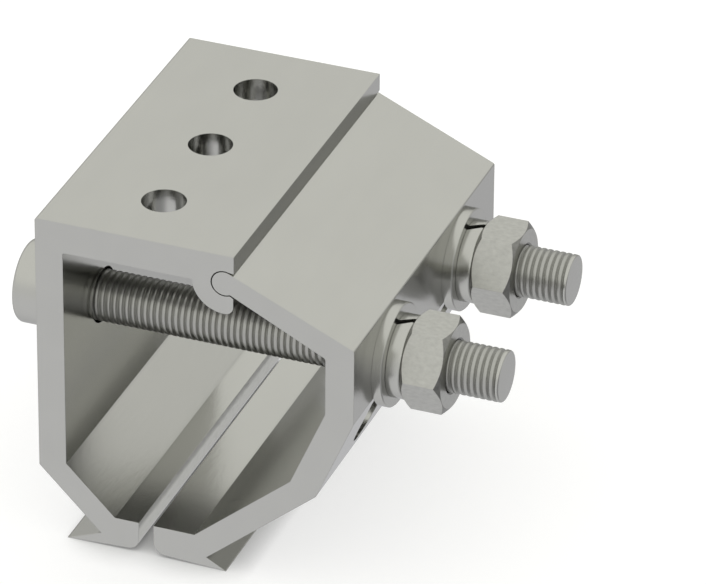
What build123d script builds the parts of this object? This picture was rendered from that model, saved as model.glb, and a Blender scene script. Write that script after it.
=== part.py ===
from build123d import *
import math
import os

os.makedirs("parts", exist_ok=True)

# Lengths in mm, angles in degrees. X runs across the seam along the bolts, Y along the seam, Z up.
# X = 0 is the middle of the seam slot, Y = 0 the middle of the clamp, Z = 0 the tips of both toes.

# overall sizes
clamp_length = 60.0
clamp_height = 54.8
body_reach = 17.3          # slot middle to the outer face of the left wall
jaw_reach = 33.2           # slot middle to the outer face of the jaw wall

# fixed body
plate_thk = 5.1
plate_end_x = 14.3
wall_thk = 4.4
lower_wall_thk = 3.85
left_lower_angle = 45.0    # slope of the left lower wall
left_toe_root_z = 2.1      # where the toe's side meets the lower wall

# both feet
slot_width = 2.4
floor_z = 5.3
toe_reach = 12.9
sole_rise = 0.55           # the sole is this much higher at the lip than at the toe's tip
lip_radius = 1.85
left_floor_width = 3.9
right_floor_width = 6.6

# hinge: a bead on the jaw turns in a hook-shaped socket of the body
hinge_inset = 1.53         # hinge axis back from the plate's end face
hinge_drop = 4.78          # hinge axis below the plate's top face
bead_radius = 1.94
hinge_play = 0.18
hook_radius = 5.12
hook_tip_radius = 1.4
mouth_upper_angle = 72.0   # where the socket's round wall stops, seen from the hinge axis
mouth_lower_angle = 66.0
jaw_swing = 15.0           # how far the jaw opens
open_lip_play = 0.2        # from the mouth's upper lip to the jaw when it is open
closed_lip_play = 0.37     # from the mouth's lower lip to the jaw when it is closed
hook_tip_setback = 0.1     # hook's end face back from the plate's end face

# swing jaw
jaw_slope = 24.2
jaw_neck_below = 1.16      # underside of the sloping plate below the hinge axis, square to the slope
jaw_plate_thk = 3.9        # of the sloping plate where it reaches the wall
jaw_wall_thk = 4.5
jaw_bend_run = 15.4        # the lower bend, right of the floor's corner
lower_bend_angle = 40.1
jaw_lower_wall_thk = 3.95
right_toe_root_z = 1.75
upper_bend_angle = 66.9
upper_bend_thk = 4.45
outer_bend_radius = 1.2
inner_corner_radius = 0.4
edge_radius = 0.4

# screwed holes in the plate
tap_diameter = 6.8         # core hole of an M8 thread
plate_hole_pitch = 18.3
plate_hole_count = 3

# clamp bolts
bolt_diameter = 8.0
bolt_length = 68.9         # under the head
bolt_spacing = 30.0
bolt_drop = 20.4           # bolt axis below the plate's top face
bolt_hole_play = 0.4       # round the bolt, in the wall's hole and in the jaw's slot
jaw_slot_foot_z = 18.6     # lower end of the jaw's slot
head_diameter = 13.0
head_height = 8.0
head_edge_radius = 0.8
socket_flats = 6.0
socket_depth = 4.5
socket_edge = 0.25         # the cone at the socket's mouth reaches this far past the hexagon's corners
socket_cone_angle = 120.0
bolt_end_chamfer = 0.35

# flat washers, split spring washers, hex nuts
washer_radius = 8.0
washer_thk = 1.6
washer_play = 0.2
washer_edge = 0.15
spring_radius = 6.4
spring_thk = 2.4
spring_play = 0.1
spring_edge = 0.1
spring_gap = 1.3
spring_gap_tilt = 30.0
spring_gap_turn = 4.0      # gap's middle, turned from straight up to the front
nut_flats = 13.0
nut_thk = 6.8
nut_play = 0.05
nut_corner_cut = 0.54      # length along the axis that the corners lose at each end
nut_face_radius = 6.4
nut_bore_edge = 0.3        # the cones at the bore's mouths reach this far past its wall
nut_cone_angle = 120.0

# places that follow from the sizes
hinge_x = plate_end_x - hinge_inset
hinge_z = clamp_height - hinge_drop
bolt_z = clamp_height - bolt_drop
lip_x = slot_width / 2
socket_radius = bead_radius + hinge_play
slot_radius = bolt_diameter / 2 + bolt_hole_play
washer_x = jaw_reach
spring_x = washer_x + washer_thk
nut_x = spring_x + spring_thk
ROWS = {"front": -bolt_spacing / 2, "rear": bolt_spacing / 2}


def meet(p, angle_p, q, angle_q):
    """Point where the line through p at angle_p crosses the line through q at angle_q."""
    px, pz = math.cos(math.radians(angle_p)), math.sin(math.radians(angle_p))
    qx, qz = math.cos(math.radians(angle_q)), math.sin(math.radians(angle_q))
    t = ((q[0] - p[0]) * qz - (q[1] - p[1]) * qx) / (px * qz - pz * qx)
    return (p[0] + t * px, p[1] + t * pz)


def moved(p, angle, distance):
    """Point p moved by a distance in the direction of the angle."""
    return (p[0] + distance * math.cos(math.radians(angle)), p[1] + distance * math.sin(math.radians(angle)))


def extrusion(points):
    """Solid of the clamp's full length with the given outline in X and Z."""
    outline = Polyline(*[(x, -clamp_length / 2, z) for x, z in points], close=True)
    return extrude(make_face(outline), amount=clamp_length, dir=(0, 1, 0))


def along_y(radius, x, z):
    """Round bar of the clamp's full length, its axis along Y."""
    return Pos(x, 0, z) * Rot(90, 0, 0) * Cylinder(radius, clamp_length)


def along_x(radius, x_from, x_to, y, z):
    """Round bar along X between two X values."""
    return Pos((x_from + x_to) / 2, y, z) * Rot(0, 90, 0) * Cylinder(radius, x_to - x_from)


def cone_along_x(x, y, face_radius, cone_angle, way):
    """Cone with its round face at X and its point ahead along +X (way 1) or -X (way -1)."""
    depth = face_radius / math.tan(math.radians(cone_angle / 2))
    cone = Cone(face_radius, 0, depth, align=(Align.CENTER, Align.CENTER, Align.MIN))
    return Pos(x, y, bolt_z) * Rot(0, 90 * way, 0) * cone


def long_edges(solid, points):
    """Edges along Y that pass through the given X and Z points."""
    found = []
    for edge in solid.edges().filter_by(Axis.Y):
        c = edge.center()
        if any(math.hypot(c.X - x, c.Z - z) < edge_radius / 4 for x, z in points):
            found.append(edge)
    return found


def fixed_body():
    outer_x = -body_reach
    inner_x = wall_thk - body_reach
    slope = 180 - left_lower_angle
    floor_corner = (-lip_x - left_floor_width, floor_z)
    outer_line = moved(floor_corner, slope + 90, lower_wall_thk)
    wall_foot = meet(outer_line, slope, (outer_x, 0), 90)
    inner_foot = meet(floor_corner, slope, (inner_x, 0), 90)
    toe_root = meet(outer_line, slope, (0, left_toe_root_z), 0)
    inner_top = (inner_x, clamp_height - plate_thk)
    lip = (-lip_x, sole_rise)
    top_corner = (outer_x, clamp_height)
    body = extrusion([
        top_corner, (plate_end_x, clamp_height), (plate_end_x, clamp_height - plate_thk), inner_top,
        inner_foot, floor_corner, (-lip_x, floor_z), lip, (-toe_reach, 0), toe_root, wall_foot,
    ])
    body = fillet(long_edges(body, [lip]), lip_radius)
    body = fillet(long_edges(body, [inner_top]), inner_corner_radius)
    body = fillet(long_edges(body, [top_corner, wall_foot]), edge_radius)

    # hook under the plate's end, cut off at its tip and level with the plate's top
    tip_x = plate_end_x - hook_tip_setback
    hook = along_y(hook_radius, hinge_x, hinge_z)
    keep_low = hinge_z - hook_radius - edge_radius
    keep = extrusion([
        (hinge_x - 2 * hook_radius, clamp_height - edge_radius), (tip_x, clamp_height - edge_radius),
        (tip_x, keep_low), (hinge_x - 2 * hook_radius, keep_low),
    ])
    hook = hook & keep
    tip = (tip_x, hinge_z - math.sqrt(hook_radius ** 2 - (tip_x - hinge_x) ** 2))
    hook = fillet(long_edges(hook, [tip]), hook_tip_radius)
    body = body + hook

    # round socket and its mouth to the right
    axis = (hinge_x, hinge_z)
    beyond = plate_end_x + hinge_inset
    open_slope = jaw_slope - jaw_swing
    jaw_open = moved(axis, 90 - open_slope, bead_radius + open_lip_play)
    jaw_closed = moved(axis, -90 - jaw_slope, jaw_neck_below + closed_lip_play)
    upper_end = meet(jaw_open, -open_slope, (plate_end_x, 0), 90)
    lower_end = meet(jaw_closed, -jaw_slope, (tip_x, 0), 90)
    body = body - along_y(socket_radius, hinge_x, hinge_z)
    body = body - extrusion([
        axis, moved(axis, mouth_upper_angle, socket_radius), upper_end, (beyond, upper_end[1]),
        (beyond, lower_end[1]), lower_end, moved(axis, -mouth_lower_angle, socket_radius),
    ])

    # screwed holes through the plate, clearance holes through the wall
    hole_x = (plate_end_x - body_reach) / 2
    for i in range(plate_hole_count):
        y = (i - (plate_hole_count - 1) / 2) * plate_hole_pitch
        body = body - Pos(hole_x, y, clamp_height - plate_thk / 2) * Cylinder(tap_diameter / 2, 2 * plate_thk)
    for y in ROWS.values():
        body = body - along_x(slot_radius, outer_x - wall_thk, inner_x + wall_thk, y, bolt_z)
    return body


def swing_jaw():
    axis = (hinge_x, hinge_z)
    inner_x = jaw_reach - jaw_wall_thk
    tangent = moved(axis, 90 - jaw_slope, bead_radius)
    top_corner = meet(tangent, -jaw_slope, (jaw_reach, 0), 90)
    top_over_inner = meet(tangent, -jaw_slope, (inner_x, 0), 90)
    inner_top = (inner_x, top_over_inner[1] - jaw_plate_thk / math.cos(math.radians(jaw_slope)))
    neck_low = moved(axis, -90 - jaw_slope, jaw_neck_below)

    floor_corner = (lip_x + right_floor_width, floor_z)
    bend = meet(floor_corner, lower_bend_angle, (floor_corner[0] + jaw_bend_run, 0), 90)
    inner_foot = meet(bend, upper_bend_angle, (inner_x, 0), 90)
    lower_line = moved(floor_corner, lower_bend_angle - 90, jaw_lower_wall_thk)
    upper_line = moved(bend, upper_bend_angle - 90, upper_bend_thk)
    outer_bend = meet(lower_line, lower_bend_angle, upper_line, upper_bend_angle)
    wall_foot = meet(upper_line, upper_bend_angle, (jaw_reach, 0), 90)
    toe_root = meet(lower_line, lower_bend_angle, (0, right_toe_root_z), 0)
    lip = (lip_x, sole_rise)
    jaw = extrusion([
        axis, tangent, top_corner, wall_foot, outer_bend, toe_root, (toe_reach, 0), lip,
        (lip_x, floor_z), floor_corner, bend, inner_foot, inner_top, neck_low,
    ])
    jaw = fillet(long_edges(jaw, [lip]), lip_radius)
    jaw = fillet(long_edges(jaw, [outer_bend]), outer_bend_radius)
    jaw = fillet(long_edges(jaw, [inner_top]), inner_corner_radius)
    jaw = fillet(long_edges(jaw, [top_corner, wall_foot]), edge_radius)
    jaw = jaw + along_y(bead_radius, hinge_x, hinge_z)

    # a slot for each bolt, from the bolt's height down through the upper bend, so that the jaw can swing
    slot_low_z = jaw_slot_foot_z + slot_radius
    x_from = bend[0] - jaw_wall_thk
    x_to = jaw_reach + jaw_wall_thk
    for y in ROWS.values():
        jaw = jaw - along_x(slot_radius, x_from, x_to, y, bolt_z)
        jaw = jaw - along_x(slot_radius, x_from, x_to, y, slot_low_z)
        middle = Pos((x_from + x_to) / 2, y, (bolt_z + slot_low_z) / 2)
        jaw = jaw - middle * Box(x_to - x_from, 2 * slot_radius, bolt_z - slot_low_z)
    return jaw


def clamp_bolt(y):
    head_x = -body_reach
    shank = along_x(bolt_diameter / 2, head_x, head_x + bolt_length, y, bolt_z)
    shank = chamfer(shank.edges().sort_by(Axis.X)[-1], bolt_end_chamfer)
    head = along_x(head_diameter / 2, head_x - head_height, head_x, y, bolt_z)
    head = fillet(head.edges().sort_by(Axis.X)[0], head_edge_radius)
    hexagon = Plane.YZ * RegularPolygon(socket_flats / 2, 6, major_radius=False)
    socket = Pos(head_x - head_height, y, bolt_z) * extrude(hexagon, socket_depth)
    mouth_radius = socket_flats / math.sqrt(3) + socket_edge
    return head + shank - socket - cone_along_x(head_x - head_height, y, mouth_radius, socket_cone_angle, 1)


def flat_washer(y):
    ring = along_x(washer_radius, washer_x, washer_x + washer_thk, y, bolt_z)
    ring = chamfer(ring.edges().sort_by(Axis.X)[-1], washer_edge)
    return ring - along_x(bolt_diameter / 2 + washer_play, washer_x - washer_thk, spring_x + washer_thk, y, bolt_z)


def spring_washer(y):
    ring = along_x(spring_radius, spring_x, nut_x, y, bolt_z)
    ring = chamfer(ring.edges().filter_by(GeomType.CIRCLE), spring_edge)
    ring = ring - along_x(bolt_diameter / 2 + spring_play, spring_x - spring_thk, nut_x + spring_thk, y, bolt_z)
    gap = Pos(0, 0, spring_radius) * Rot(0, 0, spring_gap_tilt) * Box(4 * spring_thk, spring_gap, 2 * spring_radius)
    return ring - Pos((spring_x + nut_x) / 2, y, bolt_z) * Rot(spring_gap_turn, 0, 0) * gap


def hex_nut(y):
    corner_radius = nut_flats / math.sqrt(3)
    turned = along_x(corner_radius, nut_x, nut_x + nut_thk, y, bolt_z)
    for end in (0, -1):
        rim = turned.edges().filter_by(GeomType.CIRCLE).sort_by(Axis.X)[end]
        side = turned.faces().filter_by(GeomType.CYLINDER)[0]
        turned = chamfer(rim, nut_corner_cut, corner_radius - nut_face_radius, reference=side)
    hexagon = Plane.YZ * RegularPolygon(nut_flats / 2, 6, major_radius=False)
    blank = Pos(nut_x, y, bolt_z) * extrude(hexagon, nut_thk)
    bore_radius = bolt_diameter / 2 + nut_play
    nut = (blank & turned) - along_x(bore_radius, nut_x - nut_thk, nut_x + 2 * nut_thk, y, bolt_z)
    for x, way in ((nut_x, 1), (nut_x + nut_thk, -1)):
        nut = nut - cone_along_x(x, y, bore_radius + nut_bore_edge, nut_cone_angle, way)
    return nut


export_step(fixed_body(), "parts/fixed_body.step")
export_step(swing_jaw(), "parts/swing_jaw.step")
for row, y in ROWS.items():
    export_step(clamp_bolt(y), f"parts/clamp_bolt_{row}.step")
    export_step(flat_washer(y), f"parts/flat_washer_{row}.step")
    export_step(spring_washer(y), f"parts/spring_washer_{row}.step")
    export_step(hex_nut(y), f"parts/hex_nut_{row}.step")
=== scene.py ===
import math

import bmesh
import bpy
from mathutils import Matrix, Vector


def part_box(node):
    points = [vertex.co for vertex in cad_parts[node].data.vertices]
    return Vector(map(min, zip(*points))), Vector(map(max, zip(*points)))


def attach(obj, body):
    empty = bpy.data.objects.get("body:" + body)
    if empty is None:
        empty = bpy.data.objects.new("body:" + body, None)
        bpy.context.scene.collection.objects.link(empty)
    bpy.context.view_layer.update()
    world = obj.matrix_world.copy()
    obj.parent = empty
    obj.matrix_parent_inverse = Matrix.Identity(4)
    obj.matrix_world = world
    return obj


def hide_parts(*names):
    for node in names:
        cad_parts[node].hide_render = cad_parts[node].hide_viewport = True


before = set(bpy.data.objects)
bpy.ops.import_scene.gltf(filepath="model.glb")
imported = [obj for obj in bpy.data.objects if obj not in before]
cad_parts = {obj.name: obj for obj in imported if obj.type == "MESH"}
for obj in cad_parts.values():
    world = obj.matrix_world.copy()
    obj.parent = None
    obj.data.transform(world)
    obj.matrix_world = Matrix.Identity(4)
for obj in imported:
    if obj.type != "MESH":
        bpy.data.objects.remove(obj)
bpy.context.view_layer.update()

# Lengths in metres, angles in degrees, in the frame of the CAD model.
# The clamp's length runs along Y, the bolts along X, and the feet stand on Z = 0.
MM = 0.001
ROWS = ("front", "rear")
white = (1, 1, 1, 1)
black = (0, 0, 0, 1)

# camera, as in the photograph
camera_azimuth = 20.753
camera_elevation = 30.583
camera_roll = 0.457
camera_place = Vector((325.0, -800.8, 540.2)) * MM
camera_clip = 10.0
sensor_width = 36.0        # in mm, as the lens is
focal_length = 336.8

# M8 fine thread
shank_radius = 4.0 * MM
thread_pitch = 1.0 * MM
thread_crest = 0.5 * thread_pitch
thread_root = 0.08 * thread_pitch
thread_depth = 0.3 * MM
root_round = 0.02 * MM     # the root is this much deeper in its middle
crest_round = 0.04 * MM    # the crest is this much higher in its middle
arc_steps = 4              # along the crest's and the root's arc
thread_steps = 48          # round the bolt
thread_fade = 0.3 * MM     # over this length the groove runs out
neck_length = 2.0 * MM     # plain neck under the head, inside the wall
end_band = 0.45 * MM       # plain band before the bolt's end
end_round = 0.25 * MM

# bolt head
head_round = 0.8 * MM
head_foot_round = 0.15 * MM
socket_flats = 6.0 * MM
socket_depth = 4.5 * MM
socket_edge = 0.25 * MM
socket_edge_angle = 60.0   # of the socket's cone, from the bolt's axis
head_steps = 96
round_steps = 8            # along a rounded edge

# spring washer
spring_bore = 4.1 * MM
spring_gap = 0.95 * MM
spring_gap_tilt = 30.0
spring_gap_turn = 4.0      # gap's middle, turned from straight up to the front
spring_nut_round = 0.5 * MM
spring_foot_round = 0.08 * MM
spring_steps = 96

# hexagon nut
nut_thk = 6.3 * MM
nut_corner_cut = 0.75 * MM     # length along the axis that the corners lose at each end
nut_face_radius = 6.45 * MM
nut_bore = 4.05 * MM
nut_mouth = 0.3 * MM       # the cones at the bore's mouths reach this far past its wall
nut_mouth_angle = 30.0     # of these cones, from the nut's face
nut_steps = 96

# meshes
weld_distance = 0.001 * MM
turned_smooth_angle = 35.0     # on bolts and spring washers, edges sharper than this stay sharp
nut_smooth_angle = 20.0
floor_smooth_angle = 30.0

# metals: a grain is the length of a noise's spots along X, Y and Z
edge_tint = (0.8, 0.8, 0.8, 1)
edge_softness = 0.12 * MM
edge_samples = 4
grain_detail = 3.0
fine_detail = 4.0
grain_roughness = 0.55
square_on = 0.9            # a face looks along an axis where its normal's part along it is over this

# extruded aluminium
aluminium_dark = (0.487, 0.487, 0.463, 1)
aluminium_light = (0.544, 0.544, 0.517, 1)
aluminium_roughness = (0.16, 0.22)
aluminium_relief = 0.009 * MM
die_line_grain = (0.22 * MM, 30 * MM, 0.22 * MM)
aluminium_cloud_grain = (6 * MM, 14 * MM, 6 * MM)
wave_grain = (0.7 * MM, 1.6 * MM, 0.7 * MM)
saw_centre = (-60 * MM, 0, -110 * MM)
saw_grain = (0.3 * MM, 1, 1)           # the first along the saw's radius
saw_detail = 2.0
line_tone_share = 0.35                 # of the die lines or saw marks in the tone, beside the clouds
line_relief = 0.2                      # as a part of the waves' depth
corner_reach = 0.8 * MM                # how far off a neighbouring surface still brings painted shade to the aluminium
corner_samples = 8
# painted shade: the colour the aluminium darkens towards in its corners
corner_painted_shade = (0.2, 0.2, 0.19, 1)

# side faces of the seam's slot
slot_limit = 5.8 * MM                  # they lie below this height
slot_shade_height = 4.8 * MM            # and get painted shade above this one
slot_light_height = 3.7 * MM            # and painted light below this one
slot_painted_shade = (0.25, 0.25, 0.228, 1)
slot_painted_light = (0.62, 0.62, 0.572, 1)
mottle_grain = (0.8 * MM, 1.4 * MM, 0.6 * MM)
mottle_weight = 0.6
slot_light_weight = 0.7

# rolled and turned steel
rolled_dark = (0.495, 0.495, 0.469, 1)
rolled_light = (0.543, 0.543, 0.515, 1)
rolled_roughness = (0.18, 0.28)
rolled_relief = 0.002 * MM
rolled_grain = (0.12 * MM, 0.5 * MM, 0.5 * MM)
rolled_cloud_grain = (3 * MM, 3 * MM, 3 * MM)
rolled_grain_share = 0.4               # of the grain in the tone, beside the clouds

# thread
thread_dark = (0.4, 0.4, 0.379, 1)
thread_light = (0.49, 0.49, 0.464, 1)
thread_roughness = (0.32, 0.42)
thread_relief = 0.001 * MM
thread_grain = (0.3 * MM, 0.4 * MM, 0.4 * MM)

# forged steel
forged_dark = (0.395, 0.395, 0.374, 1)
forged_light = (0.605, 0.605, 0.573, 1)
forged_roughness = (0.24, 0.36)
forged_relief = 0.025 * MM
pit_grain = (0.9 * MM, 0.6 * MM, 0.6 * MM)
forged_grain = (0.25 * MM, 0.25 * MM, 0.25 * MM)
forged_grain_share = 0.3               # of the grain in the relief, beside the pits
# painted dark reflection on the nuts' chamfers, varied by the pits
chamfer_painted_dark = (0.2, 0.2, 0.19, 1)
chamfer_painted_light = (0.4, 0.4, 0.379, 1)
chamfer_lean = (0.3, 0.95)             # on a chamfer, the normal's part along the bolt is between these

# studio
floor_radius = 3.0
floor_steps = 96
floor_colour = (0.5, 0.5, 0.5, 1)
floor_glow = 0.63          # lifts the floor to white for the camera
painted_shadow_reach = 6.0 * MM   # less so where the clamp is this close above it: a painted contact shadow
floor_samples = 16
sky_colour = (0.95, 0.95, 0.91, 1)
horizon_front_colour = (0.817, 0.817, 0.807, 1)
horizon_rear_colour = (0.51, 0.51, 0.499, 1)
ground_front_colour = (0.832, 0.832, 0.849, 1)
ground_rear_colour = (0.72, 0.72, 0.738, 1)
horizon_blend = 0.5        # height in a direction of length 1 at which sky or ground is full
studio_front = (-0.354, -0.935, 0)
front_blend = 0.6          # part along studio_front, ahead or behind, at which front or rear is full
dark_side = (0.788, -0.287, -0.545)    # middle of the studio's dark side, low on the right
dark_side_depth = 0.52
dark_side_edges = (60, 25)             # angles from its middle where it starts and is full


def new_mesh_piece(name, work, materials, smooth_angle):
    """Object made from a bmesh, shaded smooth but for edges sharper than the angle."""
    mesh = bpy.data.meshes.new(name)
    work.to_mesh(mesh)
    work.free()
    for material in materials:
        mesh.materials.append(material)
    for polygon in mesh.polygons:
        polygon.use_smooth = True
    mesh.set_sharp_from_angle(angle=math.radians(smooth_angle))
    piece = bpy.data.objects.new(name, mesh)
    bpy.context.scene.collection.objects.link(piece)
    return piece


# materials
def add(tree, kind, inputs=None, **settings):
    """Node with its settings, whose inputs are values or outputs of other nodes."""
    made = tree.nodes.new(kind)
    for key, value in settings.items():
        setattr(made, key, value)
    for key, value in (inputs or {}).items():
        if isinstance(value, bpy.types.NodeSocket):
            tree.links.new(value, made.inputs[key])
        else:
            made.inputs[key].default_value = value
    return made


def maths(tree, operation, *values):
    """Result of a maths node."""
    return add(tree, "ShaderNodeMath", dict(enumerate(values)), operation=operation).outputs[0]


def weighed(tree, a, share, b):
    """Sum of two values, a by its share and b by the rest."""
    return maths(tree, "MULTIPLY_ADD", a, share, maths(tree, "MULTIPLY", b, 1 - share))


def spread(tree, value, limits):
    """A value from 0 to 1 brought between two limits."""
    low, high = limits
    return add(tree, "ShaderNodeMapRange", {"Value": value, "To Min": low, "To Max": high}).outputs["Result"]


def faded(tree, value, start, end):
    """0 at the start, 1 at the end, smooth between."""
    return add(tree, "ShaderNodeMapRange", {"Value": value, "From Min": start, "From Max": end},
               interpolation_type="SMOOTHSTEP").outputs["Result"]


def noise(tree, coords, grain, detail=grain_detail):
    """Noise whose grains are as long along X, Y and Z as given."""
    scale = add(tree, "ShaderNodeMapping", {"Vector": coords, "Scale": [1 / g for g in grain]})
    made = add(tree, "ShaderNodeTexNoise", {"Vector": scale.outputs["Vector"], "Scale": 1.0,
                                            "Detail": detail, "Roughness": grain_roughness})
    return made.outputs["Fac"]


def parts(tree, vector):
    """Outputs X, Y and Z of a vector."""
    return add(tree, "ShaderNodeSeparateXYZ", {"Vector": vector}).outputs


def along(tree, vector, direction):
    """Dot product of a vector and a fixed direction."""
    made = add(tree, "ShaderNodeVectorMath", {0: vector, 1: direction}, operation="DOT_PRODUCT")
    return made.outputs["Value"]


def faces_along(tree, part):
    """1 where the normal's part along an axis is nearly all of it, forward or backward."""
    return maths(tree, "GREATER_THAN", maths(tree, "ABSOLUTE", part), square_on)


def blended(tree, factor, a, b):
    """Number between a and b."""
    return add(tree, "ShaderNodeMix", {"Factor": factor, "A": a, "B": b}, data_type="FLOAT").outputs["Result"]


def toned(tree, factor, dark, light):
    """Colour between a dark and a light one."""
    made = add(tree, "ShaderNodeMix", {0: factor, 6: dark, 7: light}, data_type="RGBA")
    return made.outputs[2]


def metal(name, tree_of):
    """Metal whose colour, roughness and bump come from tree_of."""
    material = bpy.data.materials.new(name)
    material.use_nodes = True
    tree = material.node_tree
    tree.nodes.clear()
    colour, roughness, normal = tree_of(tree)
    shader = add(tree, "ShaderNodeBsdfPrincipled",
                 {"Base Color": colour, "Metallic": 1.0, "Roughness": roughness, "Normal": normal,
                  "Specular Tint": edge_tint})
    add(tree, "ShaderNodeOutputMaterial", {"Surface": shader.outputs["BSDF"]})
    return material


def bumped(tree, height, distance):
    """Node with the normal bent by a height map of that depth."""
    return add(tree, "ShaderNodeBump", {"Height": height, "Distance": distance})


def soft_edged(tree, height, distance):
    """Normal bent by a height map of that depth, on edges rounded a little."""
    edge = add(tree, "ShaderNodeBevel", {"Radius": edge_softness}, samples=edge_samples)
    bump = bumped(tree, height, distance)
    tree.links.new(edge.outputs["Normal"], bump.inputs["Normal"])
    return bump.outputs["Normal"]


def slot_shade_and_light(tree, place, sideways, colour):
    """The colour, but on the side faces of the slot mottled, with painted shade at their tops and painted
    light below.
    """
    height = parts(tree, place)["Z"]
    in_slot = maths(tree, "MULTIPLY", sideways, maths(tree, "LESS_THAN", height, slot_limit))
    mottle = noise(tree, place, mottle_grain)
    # painted shade at the tops of the slot's side faces and painted light lower down, over a random mottle
    lowness = faded(tree, height, slot_shade_height, slot_light_height)
    slot_shading = maths(tree, "MULTIPLY_ADD", mottle, mottle_weight, maths(tree, "MULTIPLY", lowness, slot_light_weight))
    return toned(tree, in_slot, colour, toned(tree, slot_shading, slot_painted_shade, slot_painted_light))


def extruded_aluminium(tree):
    """Die lines and shallow waves along the length, saw arcs on the cut ends, painted shade in the corners,
    painted shade and light in the slot.
    """
    coords = add(tree, "ShaderNodeTexCoord")
    place = coords.outputs["Object"]
    normal = parts(tree, coords.outputs["Normal"])
    die_lines = noise(tree, place, die_line_grain, fine_detail)
    clouds = noise(tree, place, aluminium_cloud_grain)
    waves = noise(tree, place, wave_grain, fine_detail)
    saw_reach = add(tree, "ShaderNodeVectorMath", {0: place, 1: saw_centre}, operation="DISTANCE")
    saw_arc = add(tree, "ShaderNodeCombineXYZ", {"X": saw_reach.outputs["Value"], "Y": normal["Y"]})
    saw_marks = noise(tree, saw_arc.outputs["Vector"], saw_grain, saw_detail)
    lines = blended(tree, faces_along(tree, normal["Y"]), die_lines, saw_marks)
    tone = weighed(tree, lines, line_tone_share, clouds)
    before_corner_shade = toned(tree, tone, aluminium_dark, aluminium_light)
    before_corner_shade = slot_shade_and_light(tree, place, faces_along(tree, normal["X"]), before_corner_shade)
    # painted shade: the aluminium is darker where other surfaces of the same part are near
    openness_for_painted_shade = add(tree, "ShaderNodeAmbientOcclusion", {"Distance": corner_reach},
                   samples=corner_samples, only_local=True)
    colour = toned(tree, openness_for_painted_shade.outputs["AO"], corner_painted_shade, before_corner_shade)
    relief = maths(tree, "MULTIPLY_ADD", lines, line_relief, waves)
    return colour, spread(tree, tone, aluminium_roughness), soft_edged(tree, relief, aluminium_relief)


def rolled_steel(tree):
    """Bright turned and rolled stainless steel."""
    place = add(tree, "ShaderNodeTexCoord").outputs["Object"]
    grain = noise(tree, place, rolled_grain)
    clouds = noise(tree, place, rolled_cloud_grain)
    tone = weighed(tree, grain, rolled_grain_share, clouds)
    colour = toned(tree, tone, rolled_dark, rolled_light)
    return colour, spread(tree, tone, rolled_roughness), soft_edged(tree, grain, rolled_relief)


def threaded_steel(tree):
    """Rolled thread, duller than the rest of the bolt."""
    place = add(tree, "ShaderNodeTexCoord").outputs["Object"]
    grain = noise(tree, place, thread_grain)
    colour = toned(tree, grain, thread_dark, thread_light)
    return colour, spread(tree, grain, thread_roughness), bumped(tree, grain, thread_relief).outputs["Normal"]


def forged_steel(tree):
    """Stainless steel with the soft pits of forging, as on the nuts' flats, and a painted dark reflection on
    their chamfers.
    """
    coords = add(tree, "ShaderNodeTexCoord")
    place = coords.outputs["Object"]
    least, most = chamfer_lean
    lean = maths(tree, "ABSOLUTE", parts(tree, coords.outputs["Normal"])["X"])
    past_flats, short_of_ends = maths(tree, "GREATER_THAN", lean, least), maths(tree, "LESS_THAN", lean, most)
    painted_chamfer = maths(tree, "MULTIPLY", past_flats, short_of_ends)
    pits = noise(tree, place, pit_grain, fine_detail)
    grain = noise(tree, place, forged_grain)
    relief = weighed(tree, grain, forged_grain_share, pits)
    colour = toned(tree, pits, forged_dark, forged_light)
    # painted dark reflection on the chamfers
    colour = toned(tree, painted_chamfer, colour, toned(tree, pits, chamfer_painted_dark, chamfer_painted_light))
    return colour, spread(tree, relief, forged_roughness), soft_edged(tree, relief, forged_relief)


# fasteners
def round_point(x, r, angle, y, z):
    """Point at a radius and an angle in radians round the bolt's axis."""
    return (x, y + r * math.cos(angle), z + r * math.sin(angle))


def middle_of(low, high):
    """Y and Z of a box's middle."""
    return (low.y + high.y) / 2, (low.z + high.z) / 2


def join_sections(work, a, b):
    """Faces between two closed sections."""
    for i in range(len(a)):
        j = (i + 1) % len(a)
        work.faces.new((a[i], a[j], b[j], b[i]))


def hump(start, width, depth, height):
    """Points along the bolt and their depths on a low parabola."""
    steps = [i / arc_steps for i in range(arc_steps + 1)]
    return [(start + width * s, depth - 4 * height * s * (1 - s)) for s in steps]


def thread_profile():
    """Place along the bolt and depth of each corner of one pitch, from one crest to the next."""
    flank = (thread_pitch - thread_crest - thread_root) / 2
    crest = hump(0, thread_crest, 0, crest_round)
    root = hump(thread_crest + flank, thread_root, thread_depth, -root_round)
    return crest + root + [(thread_pitch, 0)]


def thread(work, x_from, x_to, y, z):
    """Helical groove from one X to the other, which runs out at both; its faces have the second material."""
    turns = math.ceil((x_to - x_from) / thread_pitch) + 2
    profile = thread_profile()
    rows = []
    for step in range(turns * thread_steps + 1):
        angle = 2 * math.pi * step / thread_steps
        start = x_from - thread_pitch + thread_pitch * step / thread_steps
        row = []
        for offset, depth in profile:
            x = min(max(start + offset, x_from), x_to)
            groove = min((x - x_from) / thread_fade, (x_to - x) / thread_fade, 1)
            r = shank_radius - crest_round - depth * groove
            row.append(work.verts.new(round_point(x, r, angle, y, z)))
        rows.append(row)
    for a, b in zip(rows, rows[1:]):
        for i in range(len(a) - 1):
            work.faces.new((a[i], a[i + 1], b[i + 1], b[i])).material_index = 1


def rounded(centre, radius, start, end):
    """Points of an arc in the plane of the lathe, from one angle to the other."""
    angles = [math.radians(start + (end - start) * i / round_steps) for i in range(round_steps + 1)]
    return [(centre[0] + radius * math.cos(a), centre[1] + radius * math.sin(a)) for a in angles]


def lathe(work, outline, steps, y, z):
    """Surface turned about the bolt's axis from points given by X and radius."""
    rings = []
    for x, r in outline:
        rings.append([work.verts.new(round_point(x, r, 2 * math.pi * i / steps, y, z)) for i in range(steps)])
    for a, b in zip(rings, rings[1:]):
        join_sections(work, a, b)
    return rings


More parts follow.
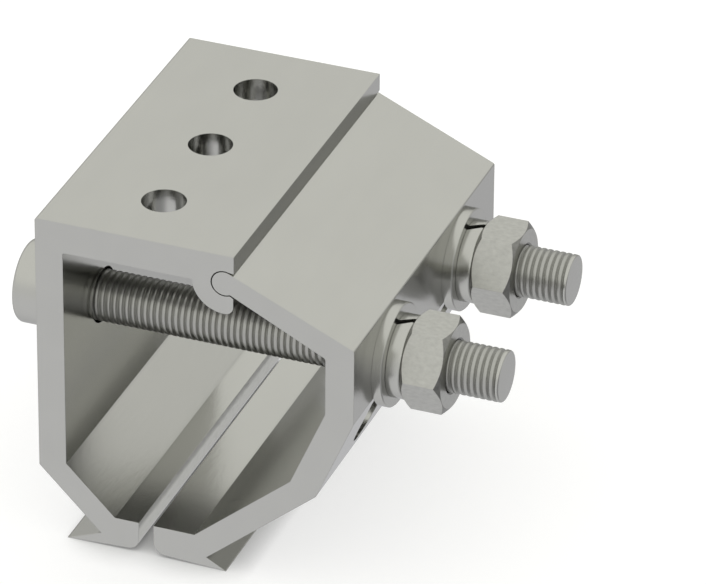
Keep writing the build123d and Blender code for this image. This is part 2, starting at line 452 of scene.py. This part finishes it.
def hexagon(x, y, z, flats):
    """Corners of a hexagon square to the bolt, two of its flats facing up and down."""
    corner = flats / math.sqrt(3)
    return [round_point(x, corner, math.radians(60 * i), y, z) for i in range(6)]


def socket_head(work, x_face, x_foot, radius, y, z):
    """Round head with a hexagon socket in its outer face; the ring at its foot is left open."""
    mouth = socket_flats / math.sqrt(3) + socket_edge
    outline = [(x_face, mouth)]
    outline += rounded((x_face + head_round, radius - head_round), head_round, 180, 90)
    outline += rounded((x_foot - head_foot_round, radius - head_foot_round), head_foot_round, 90, 0)
    rings = lathe(work, outline, head_steps, y, z)
    # cone from the round mouth down to the hexagon's six corners, then walls and bottom
    per_side = head_steps // 6
    x_cone = x_face + socket_edge / math.tan(math.radians(socket_edge_angle))
    upper = [work.verts.new(c) for c in hexagon(x_cone, y, z, socket_flats)]
    lower = [work.verts.new(c) for c in hexagon(x_face + socket_depth, y, z, socket_flats)]
    for i in range(6):
        j = (i + 1) % 6
        arc = [rings[0][(i * per_side + k) % head_steps] for k in range(per_side + 1)]
        work.faces.new(arc + [upper[j], upper[i]])
        work.faces.new((upper[i], upper[j], lower[j], lower[i]))
    work.faces.new(lower)
    return rings[-1]


def clamp_bolt(row, materials):
    """Threaded socket-head bolt in the place of its plain CAD node; the second material is the thread's."""
    node = f"clamp_bolt_{row}"
    low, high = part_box(node)
    wall_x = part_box("fixed_body")[0].x
    y, z = middle_of(low, high)
    work = bmesh.new()
    foot = socket_head(work, low.x, wall_x, (high.z - low.z) / 2, y, z)
    plain_radius = shank_radius - crest_round
    neck = lathe(work, [(wall_x, plain_radius), (wall_x + neck_length, plain_radius)], thread_steps, y, z)
    # under the head, from its edge in to the neck
    per_step = head_steps // thread_steps
    for i in range(thread_steps):
        j = (i + 1) % thread_steps
        outer = [foot[(i * per_step + k) % head_steps] for k in range(per_step + 1)]
        work.faces.new(outer + [neck[0][j], neck[0][i]])
    thread(work, wall_x + neck_length, high.x - end_band, y, z)
    end = [(high.x - end_band, plain_radius)]
    end += rounded((high.x - end_round, plain_radius - end_round), end_round, 90, 0)
    work.faces.new(lathe(work, end, thread_steps, y, z)[-1])
    bmesh.ops.remove_doubles(work, verts=work.verts, dist=weld_distance)
    bmesh.ops.dissolve_degenerate(work, edges=work.edges, dist=weld_distance)
    bmesh.ops.recalc_face_normals(work, faces=work.faces)
    piece = new_mesh_piece(f"threaded_bolt_{row}", work, materials, turned_smooth_angle)
    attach(piece, f"bolt_{row}")
    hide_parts(node)


def spring_washer(row, material):
    """Split ring with its outer edges rounded, more at the nut's side, in the place of its CAD node."""
    node = f"spring_washer_{row}"
    low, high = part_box(node)
    radius = (high.z - low.z) / 2
    y, z = high.y - radius, low.z + radius
    outline = [(high.x, spring_bore), (low.x, spring_bore)]
    outline += rounded((low.x + spring_foot_round, radius - spring_foot_round), spring_foot_round, 180, 90)
    outline += rounded((high.x - spring_nut_round, radius - spring_nut_round), spring_nut_round, 90, 0)
    turn, tilt = math.radians(spring_gap_turn), math.radians(spring_gap_tilt)
    half_gap = spring_gap / 2 / math.cos(tilt)
    work = bmesh.new()
    sections = [[] for step in range(spring_steps + 1)]
    for x, r in outline:
        middle = (x - (low.x + high.x) / 2) * math.tan(tilt)
        start = math.asin((middle + half_gap) / r)
        end = math.asin((middle - half_gap) / r) + 2 * math.pi
        for step, section in enumerate(sections):
            angle = start + (end - start) * step / spring_steps - turn
            section.append(work.verts.new((x, y + r * math.sin(angle), z + r * math.cos(angle))))
    for a, b in zip(sections, sections[1:]):
        join_sections(work, a, b)
    work.faces.new(sections[0])
    work.faces.new(sections[-1])
    bmesh.ops.recalc_face_normals(work, faces=work.faces)
    piece = new_mesh_piece(f"split_washer_{row}", work, [material], turned_smooth_angle)
    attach(piece, f"washers_{row}")
    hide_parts(node)


def clamp_nut(row, material):
    """Hexagon nut with its corners turned off at both ends, in the place of its CAD node."""
    node = f"hex_nut_{row}"
    low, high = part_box(node)
    y, z = middle_of(low, high)
    half = nut_thk / 2
    middle = low.x + half
    flat_reach = (high.z - low.z) / 2
    corner_reach_out = flat_reach / math.cos(math.radians(30))
    slope = nut_corner_cut / (corner_reach_out - nut_face_radius)
    mouth_depth = nut_mouth * math.tan(math.radians(nut_mouth_angle))
    work = bmesh.new()
    sections = []
    for step in range(nut_steps):
        turn = 360 * step / nut_steps
        reach = flat_reach / math.cos(math.radians(turn % 60 - 30))
        end = [(half - mouth_depth, nut_bore), (half, nut_bore + nut_mouth), (half, nut_face_radius),
               (half - slope * (reach - nut_face_radius), reach)]
        outline = end + [(-x, r) for x, r in reversed(end)]
        angle = math.radians(turn)
        sections.append([work.verts.new(round_point(middle + x, r, angle, y, z)) for x, r in outline])
    for a, b in zip(sections, sections[1:] + sections[:1]):
        join_sections(work, a, b)
    bmesh.ops.recalc_face_normals(work, faces=work.faces)
    piece = new_mesh_piece(f"hexagon_nut_{row}", work, [material], nut_smooth_angle)
    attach(piece, f"nut_{row}")
    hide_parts(node)


def dress(node, material):
    """CAD node with a better material."""
    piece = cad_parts[node]
    piece.data.materials.clear()
    piece.data.materials.append(material)


# studio
def studio_world():
    """Bright sky, a ground brighter in front and a dark side on the right; plain white for the camera."""
    world = bpy.data.worlds.new("studio")
    bpy.context.scene.world = world
    world.use_nodes = True
    tree = world.node_tree
    tree.nodes.clear()
    direction = add(tree, "ShaderNodeTexCoord").outputs["Generated"]
    height = parts(tree, direction)["Z"]
    forward = faded(tree, along(tree, direction, studio_front), -front_blend, front_blend)
    ground = toned(tree, forward, ground_rear_colour, ground_front_colour)
    horizon = toned(tree, forward, horizon_rear_colour, horizon_front_colour)
    above = toned(tree, faded(tree, height, 0, horizon_blend), horizon, sky_colour)
    plain = toned(tree, faded(tree, height, 0, -horizon_blend), above, ground)
    start, full = [math.cos(math.radians(angle)) for angle in dark_side_edges]
    nearness = faded(tree, along(tree, direction, dark_side), start, full)
    colour = toned(tree, maths(tree, "MULTIPLY", nearness, dark_side_depth), plain, black)
    seen = add(tree, "ShaderNodeLightPath").outputs["Is Camera Ray"]
    light = add(tree, "ShaderNodeBackground", {"Color": colour, "Strength": 1.0})
    backdrop = add(tree, "ShaderNodeBackground", {"Color": white, "Strength": 1.0})
    mixed = add(tree, "ShaderNodeMixShader",
                {0: seen, 1: light.outputs["Background"], 2: backdrop.outputs["Background"]})
    add(tree, "ShaderNodeOutputWorld", {"Surface": mixed.outputs["Shader"]})


def studio_floor():
    """Pale floor that keeps the shadow, has a painted contact shadow under the clamp, is white elsewhere, and
    isn't mirrored in the metal.
    """
    work = bmesh.new()
    bmesh.ops.create_circle(work, cap_ends=True, segments=floor_steps, radius=floor_radius)
    material = bpy.data.materials.new("floor")
    material.use_nodes = True
    tree = material.node_tree
    tree.nodes.clear()
    path = add(tree, "ShaderNodeLightPath")
    mirrored = maths(tree, "MAXIMUM", path.outputs["Is Glossy Ray"], path.outputs["Is Transmission Ray"])
    openness_for_painted_shade = add(tree, "ShaderNodeAmbientOcclusion", {"Distance": painted_shadow_reach}, samples=floor_samples)
    seen_glow = maths(tree, "MULTIPLY", path.outputs["Is Camera Ray"], floor_glow)
    # painted contact shadow: the camera's glow fades where the clamp is close above the floor
    glow_with_painted_shadow = maths(tree, "MULTIPLY", seen_glow, openness_for_painted_shade.outputs["AO"])
    diffuse = add(tree, "ShaderNodeBsdfDiffuse", {"Color": floor_colour})
    emission = add(tree, "ShaderNodeEmission", {"Color": white, "Strength": glow_with_painted_shadow})
    lit = add(tree, "ShaderNodeAddShader", {0: diffuse.outputs["BSDF"], 1: emission.outputs["Emission"]})
    clear = add(tree, "ShaderNodeBsdfTransparent")
    surface = add(tree, "ShaderNodeMixShader",
                  {0: mirrored, 1: lit.outputs["Shader"], 2: clear.outputs["BSDF"]})
    add(tree, "ShaderNodeOutputMaterial", {"Surface": surface.outputs["Shader"]})
    floor = new_mesh_piece("floor", work, [material], floor_smooth_angle)


def camera():
    """Camera at the photograph's angle."""
    data = bpy.data.cameras.new("camera")
    data.sensor_width = sensor_width
    data.lens = focal_length
    data.clip_end = camera_clip
    seen_from = bpy.data.objects.new("camera", data)
    bpy.context.scene.collection.objects.link(seen_from)
    turn = Matrix.Rotation(math.radians(camera_azimuth), 4, "Z")
    tilt = Matrix.Rotation(math.radians(90 - camera_elevation), 4, "X")
    roll = Matrix.Rotation(math.radians(camera_roll), 4, "Z")
    seen_from.matrix_world = Matrix.Translation(camera_place) @ turn @ tilt @ roll
    bpy.context.scene.camera = seen_from


aluminium = metal("extruded_aluminium", extruded_aluminium)
steel = metal("rolled_steel", rolled_steel)
forged = metal("forged_steel", forged_steel)
threaded = metal("threaded_steel", threaded_steel)
for node in ("fixed_body", "swing_jaw"):
    dress(node, aluminium)
for row in ROWS:
    clamp_bolt(row, [steel, threaded])
    dress(f"flat_washer_{row}", steel)
    spring_washer(row, steel)
    clamp_nut(row, forged)
studio_world()
studio_floor()
camera()
bpy.context.scene.view_settings.view_transform = "Standard"
